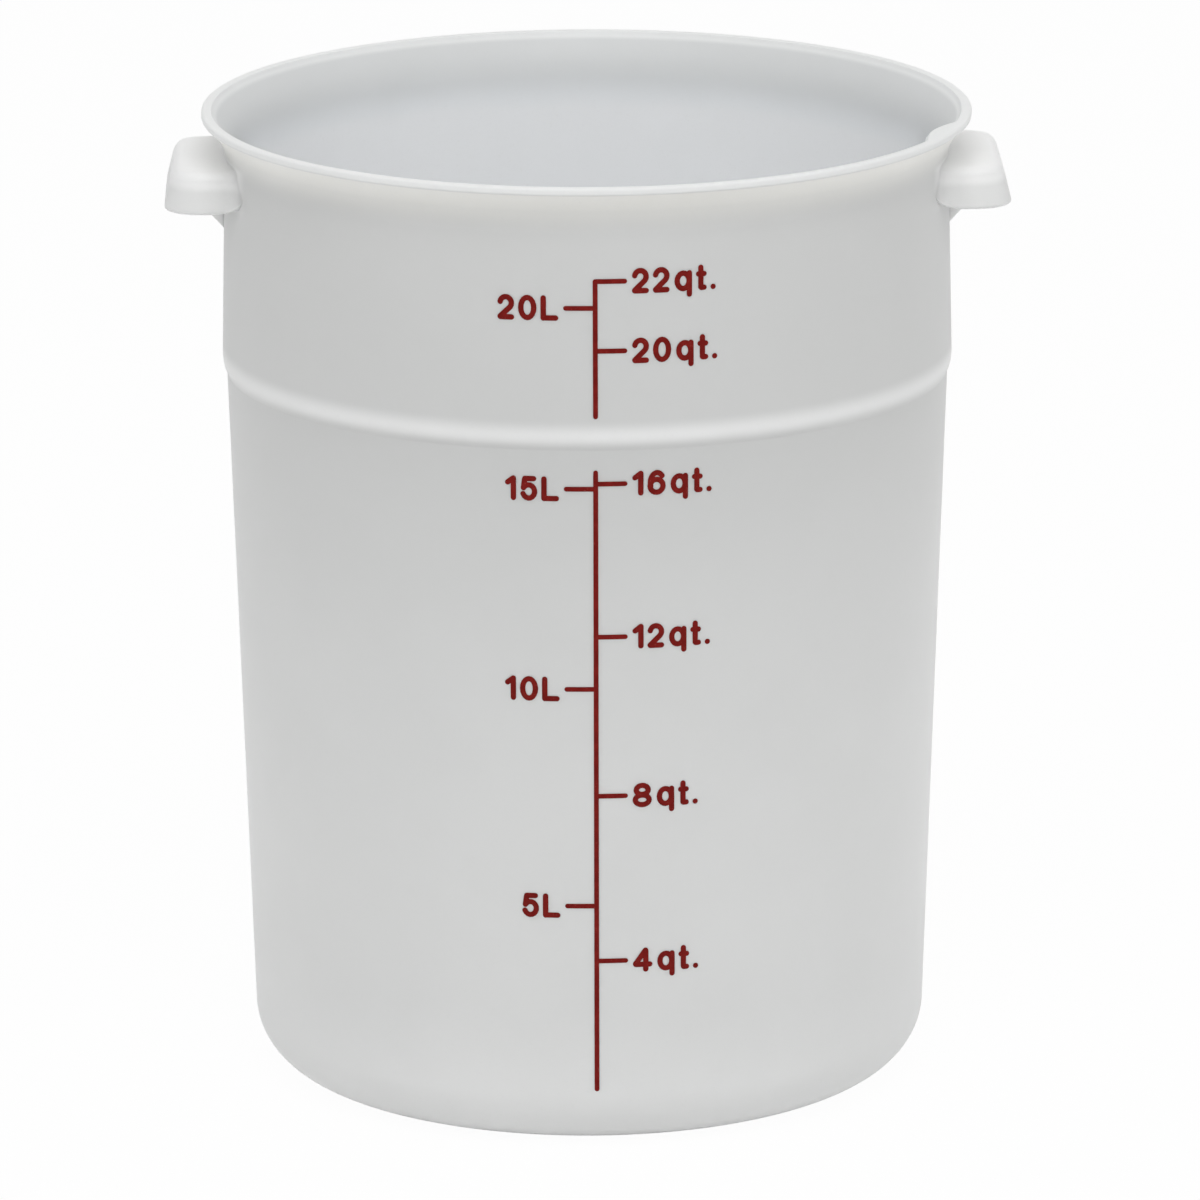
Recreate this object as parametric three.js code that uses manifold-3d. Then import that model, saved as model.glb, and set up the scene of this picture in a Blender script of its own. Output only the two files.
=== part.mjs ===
// Round food storage tub: white moulded polyethylene, open on top, two lug handles below the lip,
// and a capacity scale printed in dark red on the front.
// Millimetres, +Z up. The origin is the centre of the base, the scale faces -Y, the handles lie along X.

import * as THREE from 'three';
import { mergeVertices } from 'three/addons/utils/BufferGeometryUtils.js';
import Module from 'manifold-3d';

// Tub: overall
const HEIGHT = 391;
const WALL = 3;
const TURN_STEPS = 72;

// Tub: base
const BASE_CORNER = 25.3;
const FOOT_HEIGHT = 5;
const FOOT_RING_WIDTH = 10;
const FOOT_RING_LEAN = 2;
const FLOOR = 4.5;

// Tub: lip and flare
const LIP_RADIUS = 152.4;
const LIP_WIDTH = 4.2;
const LIP_HEIGHT = 2.8;
const LIP_EDGE = 0.7;
const LIP_OVERHANG = 9;
const FLARE_HEIGHT = 16;
const FLARE_LEAN = 50;
const INNER_FLARE_LEAN = 42;

// Tub: band, step and lower wall, with the height measured down from the lip's top and each radius from the
// one above
const BAND_HEIGHT = 98;
const BAND_SPREAD = 1.7;
const STEP_HEIGHT = 7;
const STEP_DEPTH = 1.7;
const STEP_ROUND = 4.6;
const STEP_HOLLOW = 0.7;
const LOWER_TAPER = 8.6;

// Tub: lens-shaped tab on the inner edge of the lip, at an angle from +X towards -Y
const TAB_ANGLE = 20.5;
const TAB_LENGTH = 36;
const TAB_DEPTH = 4.8;
const TAB_THICKNESS = 2.4;

// Handles
const HANDLE_REACH = 23.5;
const HANDLE_WIDTH = 82;
const HANDLE_DROP = 18.3;
const HANDLE_HEIGHT = 15.4;
const HANDLE_WALL = 3;
const HANDLE_CORNER = 13;
const HANDLE_EDGE = 3.6;
const HANDLE_LEAN = 0.24;
const HANDLE_FILLET = 7.5;
const HANDLE_TOP_FILLET = 2.5;
const HANDLE_CREASE = 1.5;
const HANDLE_FOOT_LIFT = 6.5;
const HANDLE_RIB_DROP = 14.6;
const HANDLE_RIB_RUN = 13.5;
const HANDLE_SEAT_GAP = 0.3;

// Printed scale
const INK_FILM = 0.2;
const INK_GAP = 0.2;
const LINE_STROKE = 1.9;
const FIGURE_STROKE = 2.15;
const TICK_REACH = 12.3;
const LABEL_START = 14.1;
const DIGIT_HEIGHT = 10;
const LOWER_CASE_HEIGHT = 8.2;
const DESCENDER = 2.3;
const DOT_SIZE = 2.2;
const OUTLINE_DETAIL = 0.05;
const GLYPH_GAP = 1.5;
const UNIT_GAP = 0.4;
const LOWER_STEM_FOOT = 0.8;
const LOWER_STEM_HEAD = 8.7;
const BAND_STEM_FOOT = 6.9;
const BAND_STEM_LENGTH = 53;

// Each mark's place is its share of its stem's length.
const BAND_MARKS = [
  { label: '22qt.', side: 1, share: 1 },
  { label: '20L', side: -1, share: 0.803 },
  { label: '20qt.', side: 1, share: 0.486 },
];
const LOWER_MARKS = [
  { label: '16qt.', side: 1, share: 0.982 },
  { label: '15L', side: -1, share: 0.974 },
  { label: '12qt.', side: 1, share: 0.737 },
  { label: '10L', side: -1, share: 0.653 },
  { label: '8qt.', side: 1, share: 0.48 },
  { label: '5L', side: -1, share: 0.301 },
  { label: '4qt.', side: 1, share: 0.211 },
];

// Radii and heights that follow from the sizes above
const BAND_TOP_RADIUS = LIP_RADIUS - LIP_OVERHANG;
const BAND_RADIUS = BAND_TOP_RADIUS + BAND_SPREAD;
const LOWER_TOP_RADIUS = BAND_RADIUS - STEP_DEPTH;
const BASE_RADIUS = LOWER_TOP_RADIUS - LOWER_TAPER;
const STEP_TOP = HEIGHT - BAND_HEIGHT;
const STEP_BOTTOM = STEP_TOP - STEP_HEIGHT;
const LIP_BOTTOM = HEIGHT - LIP_HEIGHT;
const FLARE_BOTTOM = LIP_BOTTOM - FLARE_HEIGHT;
const LIP_INNER_RADIUS = LIP_RADIUS - LIP_WIDTH;
const FLOOR_TOP = FOOT_HEIGHT + FLOOR;
const BASE_FLAT_RADIUS = BASE_RADIUS - BASE_CORNER;
const HANDLE_TOP = HEIGHT - HANDLE_DROP;
const HANDLE_BOTTOM = HANDLE_TOP - HANDLE_HEIGHT;
const HANDLE_WALL_RADIUS = wallRadius((HANDLE_TOP + HANDLE_BOTTOM) / 2);

const QUARTER_TURN = Math.PI / 2;
const WHITE_POLYETHYLENE = { color: 0xeff0ee, roughness: 0.42, metalness: 0 };
const RED_INK = { color: 0x7f1e18, roughness: 0.55, metalness: 0 };

const wasm = await Module();
wasm.setup();

// A closed three.js geometry as a solid that can be joined and cut
function solidOf(geometry) {
  const bare = new THREE.BufferGeometry();
  bare.setAttribute('position', geometry.getAttribute('position'));
  bare.setIndex(geometry.getIndex());
  const merged = mergeVertices(bare, 1e-4);
  const corners = merged.getIndex().array;
  const triangles = [];
  for (let i = 0; i < corners.length; i += 3) {
    const [a, b, c] = [corners[i], corners[i + 1], corners[i + 2]];
    if (a !== b && b !== c && c !== a) triangles.push(a, b, c);
  }
  return new wasm.Manifold(new wasm.Mesh({
    numProp: 3,
    vertProperties: new Float32Array(merged.getAttribute('position').array),
    triVerts: new Uint32Array(triangles),
  }));
}

function geometryOf(solid) {
  const mesh = solid.getMesh();
  const geometry = new THREE.BufferGeometry();
  geometry.setAttribute('position', new THREE.BufferAttribute(new Float32Array(mesh.vertProperties), 3));
  geometry.setIndex(new THREE.BufferAttribute(new Uint32Array(mesh.triVerts), 1));
  geometry.computeVertexNormals();
  return geometry;
}

function namedMesh(name, geometry, finish) {
  const mesh = new THREE.Mesh(geometry, new THREE.MeshStandardMaterial(finish));
  mesh.name = name;
  return mesh;
}

// Tub

function turned(profile) {
  return new THREE.LatheGeometry(profile, TURN_STEPS).rotateX(QUARTER_TURN);
}

function ellipseArc(x, y, radiusX, radiusY, from, to, steps) {
  return new THREE.EllipseCurve(x, y, radiusX, radiusY, from, to, to < from).getPoints(steps);
}

// Underside of the band: a long round edge that turns in to the lower wall through a short hollow
function stepCurve(lowRadius, highRadius) {
  return new THREE.CubicBezierCurve(
    new THREE.Vector2(lowRadius, STEP_BOTTOM),
    new THREE.Vector2(lowRadius, STEP_BOTTOM + STEP_HOLLOW),
    new THREE.Vector2(highRadius, STEP_TOP - STEP_ROUND),
    new THREE.Vector2(highRadius, STEP_TOP),
  ).getPoints(4);
}

// Curve that leaves one radius upright and reaches another at a lean from upright, in degrees
function flareCurve(radius, endRadius, top, lean) {
  const bend = top - (endRadius - radius) / Math.tan(THREE.MathUtils.degToRad(lean));
  return new THREE.QuadraticBezierCurve(
    new THREE.Vector2(radius, FLARE_BOTTOM),
    new THREE.Vector2(radius, bend),
    new THREE.Vector2(endRadius, top),
  ).getPoints(4);
}

// Outside of the tub from the foot ring's outer edge up to the lip's underside
function outerWall() {
  return [
    ...ellipseArc(BASE_FLAT_RADIUS, BASE_CORNER, BASE_CORNER, BASE_CORNER, -QUARTER_TURN, 0, 5),
    ...stepCurve(LOWER_TOP_RADIUS, BAND_RADIUS),
    ...flareCurve(BAND_TOP_RADIUS, LIP_RADIUS - LIP_EDGE, LIP_BOTTOM, FLARE_LEAN),
  ];
}

// Inside of the tub from the centre of the floor up to the lip
function innerWall() {
  const corner = { x: BASE_CORNER - WALL, y: BASE_CORNER - FLOOR_TOP };
  return [
    new THREE.Vector2(0, FLOOR_TOP),
    ...ellipseArc(BASE_FLAT_RADIUS, BASE_CORNER, corner.x, corner.y, -QUARTER_TURN, 0, 4),
    ...stepCurve(LOWER_TOP_RADIUS - WALL, BAND_RADIUS - WALL),
    ...flareCurve(BAND_TOP_RADIUS - WALL, LIP_INNER_RADIUS, HEIGHT - LIP_EDGE, INNER_FLARE_LEAN),
  ];
}

// Outside radius of the straight stretch of wall at a height, on the band or below the step
function wallRadius(z) {
  const onBand = z > STEP_TOP;
  const [low, high] = onBand ? [STEP_TOP, FLARE_BOTTOM] : [BASE_CORNER, STEP_BOTTOM];
  const [lowRadius, highRadius] = onBand ? [BAND_RADIUS, BAND_TOP_RADIUS] : [BASE_RADIUS, LOWER_TOP_RADIUS];
  return THREE.MathUtils.mapLinear(z, low, high, lowRadius, highRadius);
}

function tubProfile() {
  const ringInner = BASE_FLAT_RADIUS - FOOT_RING_WIDTH;
  return [
    new THREE.Vector2(0, FOOT_HEIGHT),
    new THREE.Vector2(ringInner - FOOT_RING_LEAN, FOOT_HEIGHT),
    new THREE.Vector2(ringInner, 0),
    ...outerWall(),
    new THREE.Vector2(LIP_RADIUS, LIP_BOTTOM + LIP_EDGE),
    ...ellipseArc(LIP_RADIUS - LIP_EDGE, HEIGHT - LIP_EDGE, LIP_EDGE, LIP_EDGE, 0, QUARTER_TURN, 1),
    new THREE.Vector2(LIP_INNER_RADIUS + LIP_EDGE, HEIGHT),
    ...innerWall().reverse(),
  ];
}

// Lens between the lip and an arc that bulges inwards from it
function lipTab() {
  const radius = LIP_INNER_RADIUS + LIP_EDGE;
  const halfAngle = TAB_LENGTH / 2 / radius;
  const reach = radius * Math.cos(halfAngle);
  const depth = TAB_DEPTH + LIP_EDGE - (radius - reach);
  const lens = new THREE.Shape();
  lens.absarc(0, 0, radius, -halfAngle, halfAngle, false);
  lens.quadraticCurveTo(reach - 2 * depth, 0, reach, -radius * Math.sin(halfAngle));
  const geometry = new THREE.ExtrudeGeometry(lens, {
    depth: TAB_THICKNESS, bevelEnabled: false, curveSegments: 10,
  });
  geometry.translate(0, 0, HEIGHT - TAB_THICKNESS);
  return geometry.rotateZ(-THREE.MathUtils.degToRad(TAB_ANGLE));
}

function tub() {
  const solid = solidOf(turned(tubProfile())).add(solidOf(lipTab()));
  return namedMesh('tub', geometryOf(solid), WHITE_POLYETHYLENE);
}

// Handles

// Everything inside the tub's outside face, with the seat gap added
function handleSeat() {
  const skin = [...outerWall(), new THREE.Vector2(LIP_RADIUS, HEIGHT)];
  const profile = skin.map((point) => new THREE.Vector2(point.x + HANDLE_SEAT_GAP, point.y));
  return solidOf(turned([new THREE.Vector2(0, 0), ...profile, new THREE.Vector2(0, HEIGHT)]));
}

// Places from the wall outwards, each with its share of the root's spread and how far the plan corner and the
// top edge have come
function lugStations(reach, corner, edge, fillet) {
  const stations = [{ out: -WALL, root: 1, narrow: 0, drop: 0 }];
  for (const angle of [10, 25, 45, 65, 90].map(THREE.MathUtils.degToRad)) {
    const out = fillet * (1 - Math.cos(angle));
    stations.push({ out, root: 1 - Math.sin(angle), narrow: 0, drop: 0 });
  }
  for (const angle of [0, 30, 50, 65, 78, 90].map(THREE.MathUtils.degToRad)) {
    const left = corner * (1 - Math.sin(angle));
    const past = Math.max(edge - left, 0);
    const drop = edge - Math.sqrt(edge * edge - past * past);
    stations.push({ out: reach - left, root: 0, narrow: corner * (1 - Math.cos(angle)), drop });
  }
  return stations;
}

// One ring of the lug across the wall: bottom edge, leaning end, rounded top edge, top, and back round
function lugRing({ halfWidth, spread, topSpread, top, bottom, edge }) {
  const acrossSteps = 6;
  const halfAt = (z) => halfWidth - HANDLE_LEAN * (z - HANDLE_BOTTOM);
  const bottomHalf = halfAt(bottom) + spread;
  const topHalf = halfAt(top) + topSpread;
  const ring = [];
  for (let i = 0; i <= acrossSteps; i += 1) {
    ring.push([THREE.MathUtils.lerp(-bottomHalf, bottomHalf, i / acrossSteps), bottom]);
  }
  for (const { x, y } of ellipseArc(topHalf - edge, top - edge, edge, edge, 0, QUARTER_TURN, 3)) {
    ring.push([x, y]);
  }
  for (let i = 1; i < acrossSteps; i += 1) {
    ring.push([THREE.MathUtils.lerp(topHalf - edge, edge - topHalf, i / acrossSteps), top]);
  }
  for (const { x, y } of ellipseArc(edge - topHalf, top - edge, edge, edge, QUARTER_TURN, Math.PI, 3)) {
    ring.push([x, y]);
  }
  return ring;
}

// Lug that grows out of the band towards +X, leaning outwards to its lower edge. At its root the ends spread
// by a fillet that is smaller at the top, the top rises by a crease and the foot lifts.
function lug({ reach, width, top, bottom, corner, edge, fillet, topFillet, crease, lift }) {
  const rings = lugStations(reach, corner, edge, fillet).map((station) => {
    const ring = lugRing({
      halfWidth: width / 2 - station.narrow,
      spread: fillet * station.root,
      topSpread: topFillet * station.root,
      top: top + crease * station.root - station.drop,
      bottom: bottom + lift * station.root,
      edge,
    });
    const share = THREE.MathUtils.clamp(station.out / reach, 0, 1);
    return ring.map(([y, z]) => {
      const wallFace = Math.sqrt(HANDLE_WALL_RADIUS ** 2 - y * y);
      const leanBack = HANDLE_LEAN * (z - HANDLE_BOTTOM);
      const fromWall = wallFace + station.out;
      const fromEnd = HANDLE_WALL_RADIUS + station.out - leanBack;
      return [THREE.MathUtils.lerp(fromWall, fromEnd, share), y, z];
    });
  });
  return loft(rings);
}

// Closed skin over a row of rings with the same number of points
function loft(rings) {
  const count = rings[0].length;
  const positions = rings.flat(2);
  const index = [];
  for (let row = 0; row + 1 < rings.length; row += 1) {
    for (let i = 0; i < count; i += 1) {
      const next = (i + 1) % count;
      const [a, b] = [row * count + i, row * count + next];
      index.push(a, b, b + count, a, b + count, a + count);
    }
  }
  const lastRow = (rings.length - 1) * count;
  const outline = (ring) => ring.map(([, y, z]) => new THREE.Vector2(y, z));
  for (const [a, b, c] of THREE.ShapeUtils.triangulateShape(outline(rings[0]), [])) {
    index.push(c, b, a);
  }
  for (const [a, b, c] of THREE.ShapeUtils.triangulateShape(outline(rings.at(-1)), [])) {
    index.push(lastRow + a, lastRow + b, lastRow + c);
  }
  const geometry = new THREE.BufferGeometry();
  geometry.setAttribute('position', new THREE.Float32BufferAttribute(positions, 3));
  geometry.setIndex(index);
  return geometry;
}

// Gusset in the middle of the handle, from the top down to a foot on the band
function handleRib() {
  const root = HANDLE_WALL_RADIUS - WALL;
  const underside = HANDLE_TOP - HANDLE_WALL / 2;
  const foot = HANDLE_BOTTOM - HANDLE_RIB_DROP;
  const outer = HANDLE_WALL_RADIUS + HANDLE_REACH - HANDLE_WALL / 2;
  const shape = new THREE.Shape([
    new THREE.Vector2(root, foot),
    new THREE.Vector2(HANDLE_WALL_RADIUS, foot),
    new THREE.Vector2(HANDLE_WALL_RADIUS + HANDLE_RIB_RUN, HANDLE_BOTTOM),
    new THREE.Vector2(outer, HANDLE_BOTTOM + HANDLE_WALL),
    new THREE.Vector2(outer - HANDLE_LEAN * HANDLE_HEIGHT, underside),
    new THREE.Vector2(root, underside),
  ]);
  const geometry = new THREE.ExtrudeGeometry(shape, { depth: HANDLE_WALL, bevelEnabled: false });
  return geometry.rotateX(QUARTER_TURN).translate(0, HANDLE_WALL / 2, 0);
}

// Lug with a finger pocket on each side of its rib, open downwards and closed by the tub's own wall behind
function handleGeometry() {
  const outside = {
    reach: HANDLE_REACH,
    width: HANDLE_WIDTH,
    top: HANDLE_TOP,
    bottom: HANDLE_BOTTOM,
    corner: HANDLE_CORNER,
    edge: HANDLE_EDGE,
    fillet: HANDLE_FILLET,
    topFillet: HANDLE_TOP_FILLET,
    crease: HANDLE_CREASE,
    lift: HANDLE_FOOT_LIFT,
  };
  const pocket = {
    reach: HANDLE_REACH - HANDLE_WALL,
    width: HANDLE_WIDTH - 2 * HANDLE_WALL,
    top: HANDLE_TOP - HANDLE_WALL,
    bottom: HANDLE_BOTTOM - HANDLE_WALL,
    corner: HANDLE_CORNER - HANDLE_WALL,
    edge: HANDLE_EDGE - HANDLE_WALL,
    fillet: 0,
    topFillet: 0,
    crease: 0,
    lift: 0,
  };
  const shell = solidOf(lug(outside)).subtract(solidOf(lug(pocket)));
  return shell.add(solidOf(handleRib())).subtract(handleSeat());
}

function handles() {
  const geometry = geometryOf(handleGeometry());
  const right = namedMesh('right_handle', geometry, WHITE_POLYETHYLENE);
  const left = namedMesh('left_handle', geometry, WHITE_POLYETHYLENE);
  left.rotation.z = Math.PI;
  return [left, right];
}

// Printed scale

// Strokes are flat ink with u to the right, v up and the film's thickness along w.
function inkOf(shape, curveSegments) {
  return solidOf(new THREE.ExtrudeGeometry(shape, { depth: INK_FILM, bevelEnabled: false, curveSegments }));
}

function dot(u, v, size) {
  const shape = new THREE.Shape();
  shape.absarc(u, v, size / 2, 0, 2 * Math.PI, false);
  return inkOf(shape, 5);
}

// Straight stroke with round ends
function line(u0, v0, u1, v1, stroke = FIGURE_STROKE) {
  const along = Math.atan2(v1 - v0, u1 - u0);
  const shape = new THREE.Shape();
  shape.absarc(u0, v0, stroke / 2, along + QUARTER_TURN, along + 3 * QUARTER_TURN, false);
  shape.absarc(u1, v1, stroke / 2, along - QUARTER_TURN, along + QUARTER_TURN, false);
  return inkOf(shape, 3);
}

// Closed round stroke
function ring(u, v, radiusU, radiusV) {
  const half = FIGURE_STROKE / 2;
  const shape = new THREE.Shape();
  shape.absellipse(u, v, radiusU + half, radiusV + half, 0, 2 * Math.PI, false);
  const hole = new THREE.Path();
  hole.absellipse(u, v, radiusU - half, radiusV - half, 0, 2 * Math.PI, false);
  shape.holes.push(hole);
  return inkOf(shape, 10);
}

// Round stroke that runs clockwise from one angle to another, in degrees, with round ends
function bow(u, v, radiusU, radiusV, fromDegrees, toDegrees) {
  const half = FIGURE_STROKE / 2;
  const from = THREE.MathUtils.degToRad(fromDegrees);
  const to = THREE.MathUtils.degToRad(toDegrees);
  const shape = new THREE.Shape();
  shape.absellipse(u, v, radiusU + half, radiusV + half, from, to, true);
  shape.absellipse(u, v, radiusU - half, radiusV - half, to, from, false);
  const end = (angle) => dot(u + radiusU * Math.cos(angle), v + radiusV * Math.sin(angle), FIGURE_STROKE);
  return inkOf(shape, 7).add(end(from)).add(end(to));
}

// Edges that go round the front face of flat ink, as a map from each corner to the next
function frontEdges({ vertProperties, triVerts }) {
  const onFront = (corner) => vertProperties[3 * corner + 2] > INK_FILM / 2;
  const nextCorner = new Map();
  for (let i = 0; i < triVerts.length; i += 3) {
    const corners = [triVerts[i], triVerts[i + 1], triVerts[i + 2]];
    const isFront = corners.map(onFront);
    corners.forEach((corner, side) => {
      const after = (side + 1) % 3;
      const isRim = isFront[side] && isFront[after] && !isFront[(side + 2) % 3];
      if (isRim) nextCorner.set(corners[after], corner);
    });
  }
  return nextCorner;
}

// Closed runs of points that the edges make
function edgeRuns(ink) {
  const mesh = ink.getMesh();
  const nextCorner = frontEdges(mesh);
  const runs = [];
  while (nextCorner.size > 0) {
    const run = [];
    let corner = nextCorner.keys().next().value;
    while (nextCorner.has(corner)) {
      run.push(new THREE.Vector2(mesh.vertProperties[3 * corner], mesh.vertProperties[3 * corner + 1]));
      const following = nextCorner.get(corner);
      nextCorner.delete(corner);
      corner = following;
    }
    runs.push(run);
  }
  return runs;
}

// The same run without points that lie almost on a neighbour or on the straight between two
function simplified(run) {
  const kept = [];
  run.forEach((point, place) => {
    const before = kept.at(-1) ?? run.at(-1);
    const after = run[(place + 1) % run.length];
    const [into, out] = [point.clone().sub(before), after.clone().sub(point)];
    const chord = after.clone().sub(before);
    const offLine = Math.abs(into.cross(chord)) / Math.max(chord.length(), OUTLINE_DETAIL);
    if (into.length() > OUTLINE_DETAIL && out.length() > 0 && offLine > OUTLINE_DETAIL / 10) kept.push(point);
  });
  return kept;
}

// Joins overlapping strokes into one outline with its holes
function joined(strokes) {
  const runs = edgeRuns(strokes.reduce((whole, stroke) => whole.add(stroke))).map(simplified);
  const [outer] = runs.filter((run) => THREE.ShapeUtils.area(run) > 0);
  const shape = new THREE.Shape(outer);
  shape.holes = runs.filter((run) => run !== outer).map((run) => new THREE.Path(run));
  return shape;
}

// Figures and letters: each takes the size of its stroke centre lines' box and draws in shares of it.
const FIGURES = {
  0: { width: 7.2, draw: (w, h) => [ring(w / 2, h / 2, w / 2, h / 2)] },
  1: { width: 4.4, draw: (w, h) => [line(w, 0, w, h), line(0.96 * w, 0.99 * h, 0, 0.78 * h)] },
  2: {
    width: 6.6,
    draw: (w, h) => [
      bow(0.5 * w, 0.7 * h, 0.5 * w, 0.3 * h, 170, -35),
      line(0.88 * w, 0.5 * h, 0, 0.02 * h),
      line(0.02 * w, 0, w, 0),
    ],
  },
  4: {
    width: 7.8,
    draw: (w, h) => [
      line(0.72 * w, 0, 0.72 * w, 0.97 * h),
      line(0.7 * w, h, 0, 0.29 * h),
      line(0.03 * w, 0.26 * h, w, 0.26 * h),
    ],
  },
  5: {
    width: 6.8,
    draw: (w, h) => [
      line(0.92 * w, h, 0.19 * w, h),
      line(0.17 * w, 0.97 * h, 0.07 * w, 0.52 * h),
      bow(0.5 * w, 0.34 * h, 0.5 * w, 0.34 * h, 140, -160),
    ],
  },
  6: {
    width: 7.2,
    draw: (w, h) => [
      ring(0.5 * w, 0.33 * h, 0.5 * w, 0.33 * h),
      bow(0.54 * w, 0.5 * h, 0.52 * w, 0.5 * h, 200, 42),
    ],
  },
  8: {
    width: 7.6,
    draw: (w, h) => [
      ring(0.5 * w, 0.765 * h, 0.43 * w, 0.235 * h),
      ring(0.5 * w, 0.25 * h, 0.5 * w, 0.25 * h),
    ],
  },
  L: { width: 6.9, draw: (w, h) => [line(0, h, 0, 0), line(0.04 * w, 0.01 * h, w, 0.01 * h)] },
  q: {
    width: 7,
    height: LOWER_CASE_HEIGHT,
    draw: (w, h) => [ring(0.49 * w, 0.5 * h, 0.49 * w, 0.5 * h), line(w, h, w, -DESCENDER)],
  },
  t: {
    width: 4.4,
    draw: (w, h) => [
      line(0.42 * w, h, 0.42 * w, 0.02 * h),
      line(0.5 * w, 0, w, 0),
      line(0, 0.68 * h, w, 0.68 * h),
    ],
  },
  '.': { width: DOT_SIZE, draw: (w) => [dot(w / 2, w / 2, DOT_SIZE)] },
};

// Film of ink wrapped round the front of the tub, with its shape's origin at a place along the wall and
// at a height
function wrapped(shape, along, height) {
  const geometry = new THREE.ExtrudeGeometry(shape, { depth: INK_FILM, bevelEnabled: false });
  const points = geometry.getAttribute('position');
  for (let i = 0; i < points.count; i += 1) {
    const z = height + points.getY(i);
    const wall = wallRadius(z);
    const angle = (along + points.getX(i)) / wall;
    const radius = wall + INK_GAP + points.getZ(i);
    points.setXYZ(i, radius * Math.sin(angle), -radius * Math.cos(angle), z);
  }
  geometry.computeVertexNormals();
  return geometry;
}

// Node name of one figure of a label, such as print_22qt_digit_1 or print_20l_letter_l
function figureName(label, place) {
  const figure = label[place];
  const stem = `print_${label.replace('.', '').toLowerCase()}`;
  if (figure === '.') return `${stem}_dot`;
  if (figure >= '0' && figure <= '9') return `${stem}_digit_${place + 1}`;
  return `${stem}_letter_${figure.toLowerCase()}`;
}

// Space before a figure: the unit stands a little apart from the number.
function gapBefore(label, place) {
  if (place === 0) return 0;
  return label[place] === 'q' ? GLYPH_GAP + UNIT_GAP : GLYPH_GAP;
}

function labelMeshes({ label, side }, height) {
  const places = [...label].keys();
  const layout = [];
  let end = 0;
  for (const place of places) {
    const start = end + gapBefore(label, place);
    end = start + FIGURES[label[place]].width;
    layout.push({ place, start });
  }
  const first = side > 0 ? LABEL_START : -LABEL_START - end;
  return layout.map(({ place, start }) => {
    const figure = FIGURES[label[place]];
    const tall = figure.height ?? DIGIT_HEIGHT;
    const shape = joined(figure.draw(figure.width - FIGURE_STROKE, tall - FIGURE_STROKE));
    const along = first + start + FIGURE_STROKE / 2;
    const baseline = height - DIGIT_HEIGHT / 2 + FIGURE_STROKE / 2;
    return namedMesh(figureName(label, place), wrapped(shape, along, baseline), RED_INK);
  });
}

// One stem with its ticks, and the labels beside the ticks
function scale(name, bottom, length, marks) {
  const ticks = marks.map(({ side, share }) => {
    const [start, end] = [side * LINE_STROKE / 4, side * (TICK_REACH - LINE_STROKE / 2)];
    return line(start, share * length, end, share * length, LINE_STROKE);
  });
  const stem = joined([line(0, 0, 0, length, LINE_STROKE), ...ticks]);
  return [
    namedMesh(name, wrapped(stem, 0, bottom), RED_INK),
    ...marks.flatMap((mark) => labelMeshes(mark, bottom + mark.share * length)),
  ];
}

function printedScales() {
  const bandBottom = STEP_TOP + BAND_STEM_FOOT;
  const lowerBottom = BASE_CORNER + LOWER_STEM_FOOT;
  const lowerLength = STEP_BOTTOM - LOWER_STEM_HEAD - lowerBottom;
  return [
    ...scale('scale_line_upper', bandBottom, BAND_STEM_LENGTH, BAND_MARKS),
    ...scale('scale_line_lower', lowerBottom, lowerLength, LOWER_MARKS),
  ];
}

const container = new THREE.Group();
container.add(tub(), ...handles(), ...printedScales());

export default container;
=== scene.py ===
"""Round food storage tub in satin white polyethylene, with lug handles and a printed capacity scale."""

import math

import bmesh
import bpy
from mathutils import Matrix, Vector


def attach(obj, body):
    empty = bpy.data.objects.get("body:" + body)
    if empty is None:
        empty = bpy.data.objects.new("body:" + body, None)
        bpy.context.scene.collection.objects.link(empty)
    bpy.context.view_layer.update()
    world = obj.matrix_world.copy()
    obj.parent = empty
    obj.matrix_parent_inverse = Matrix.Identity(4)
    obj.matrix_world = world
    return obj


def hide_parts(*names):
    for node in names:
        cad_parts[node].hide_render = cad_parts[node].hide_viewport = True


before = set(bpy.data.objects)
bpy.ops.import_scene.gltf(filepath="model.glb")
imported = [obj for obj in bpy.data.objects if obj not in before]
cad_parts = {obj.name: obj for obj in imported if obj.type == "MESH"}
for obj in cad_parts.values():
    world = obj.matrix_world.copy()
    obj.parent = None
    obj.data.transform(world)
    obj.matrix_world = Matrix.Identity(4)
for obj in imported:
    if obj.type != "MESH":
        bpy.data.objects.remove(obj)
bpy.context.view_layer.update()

MM = 0.001
QUARTER_TURN = math.pi / 2

# Tub sizes in millimetres, as in the solid model
HEIGHT = 391.0
WALL = 3.0
TURN_STEPS = 360
BASE_CORNER = 25.3
BASE_RADIUS = 134.8
FOOT_HEIGHT = 5.0
FOOT_RING_WIDTH = 10.0
FOOT_RING_LEAN = 2.0
FOOT_EDGE = 1.2
FLOOR_TOP = 9.5
STEP_BOTTOM = 286.0
STEP_TOP = 293.0
STEP_ROUND = 4.6
STEP_HOLLOW = 0.7
LOWER_TOP_RADIUS = 143.4
BAND_RADIUS = 145.1
BAND_TOP_RADIUS = 143.4
FLARE_BOTTOM = 372.2
FLARE_LEAN = math.radians(50)
INNER_FLARE_LEAN = math.radians(42)
LIP_BOTTOM = 388.2
LIP_RADIUS = 152.4
LIP_INNER_RADIUS = 148.2
LIP_EDGE = 0.7
LIP_SHOULDER = (1.1, 0.9)
LIP_INNER_EDGE = 0.6
GATE_RADIUS = 5.0
GATE_HEIGHT = 0.8

# Lens-shaped tab on the inner edge of the lip, in millimetres
TAB_ANGLE = math.radians(-20.5)
TAB_LENGTH = 36.0
TAB_DEPTH = 4.8

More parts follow.
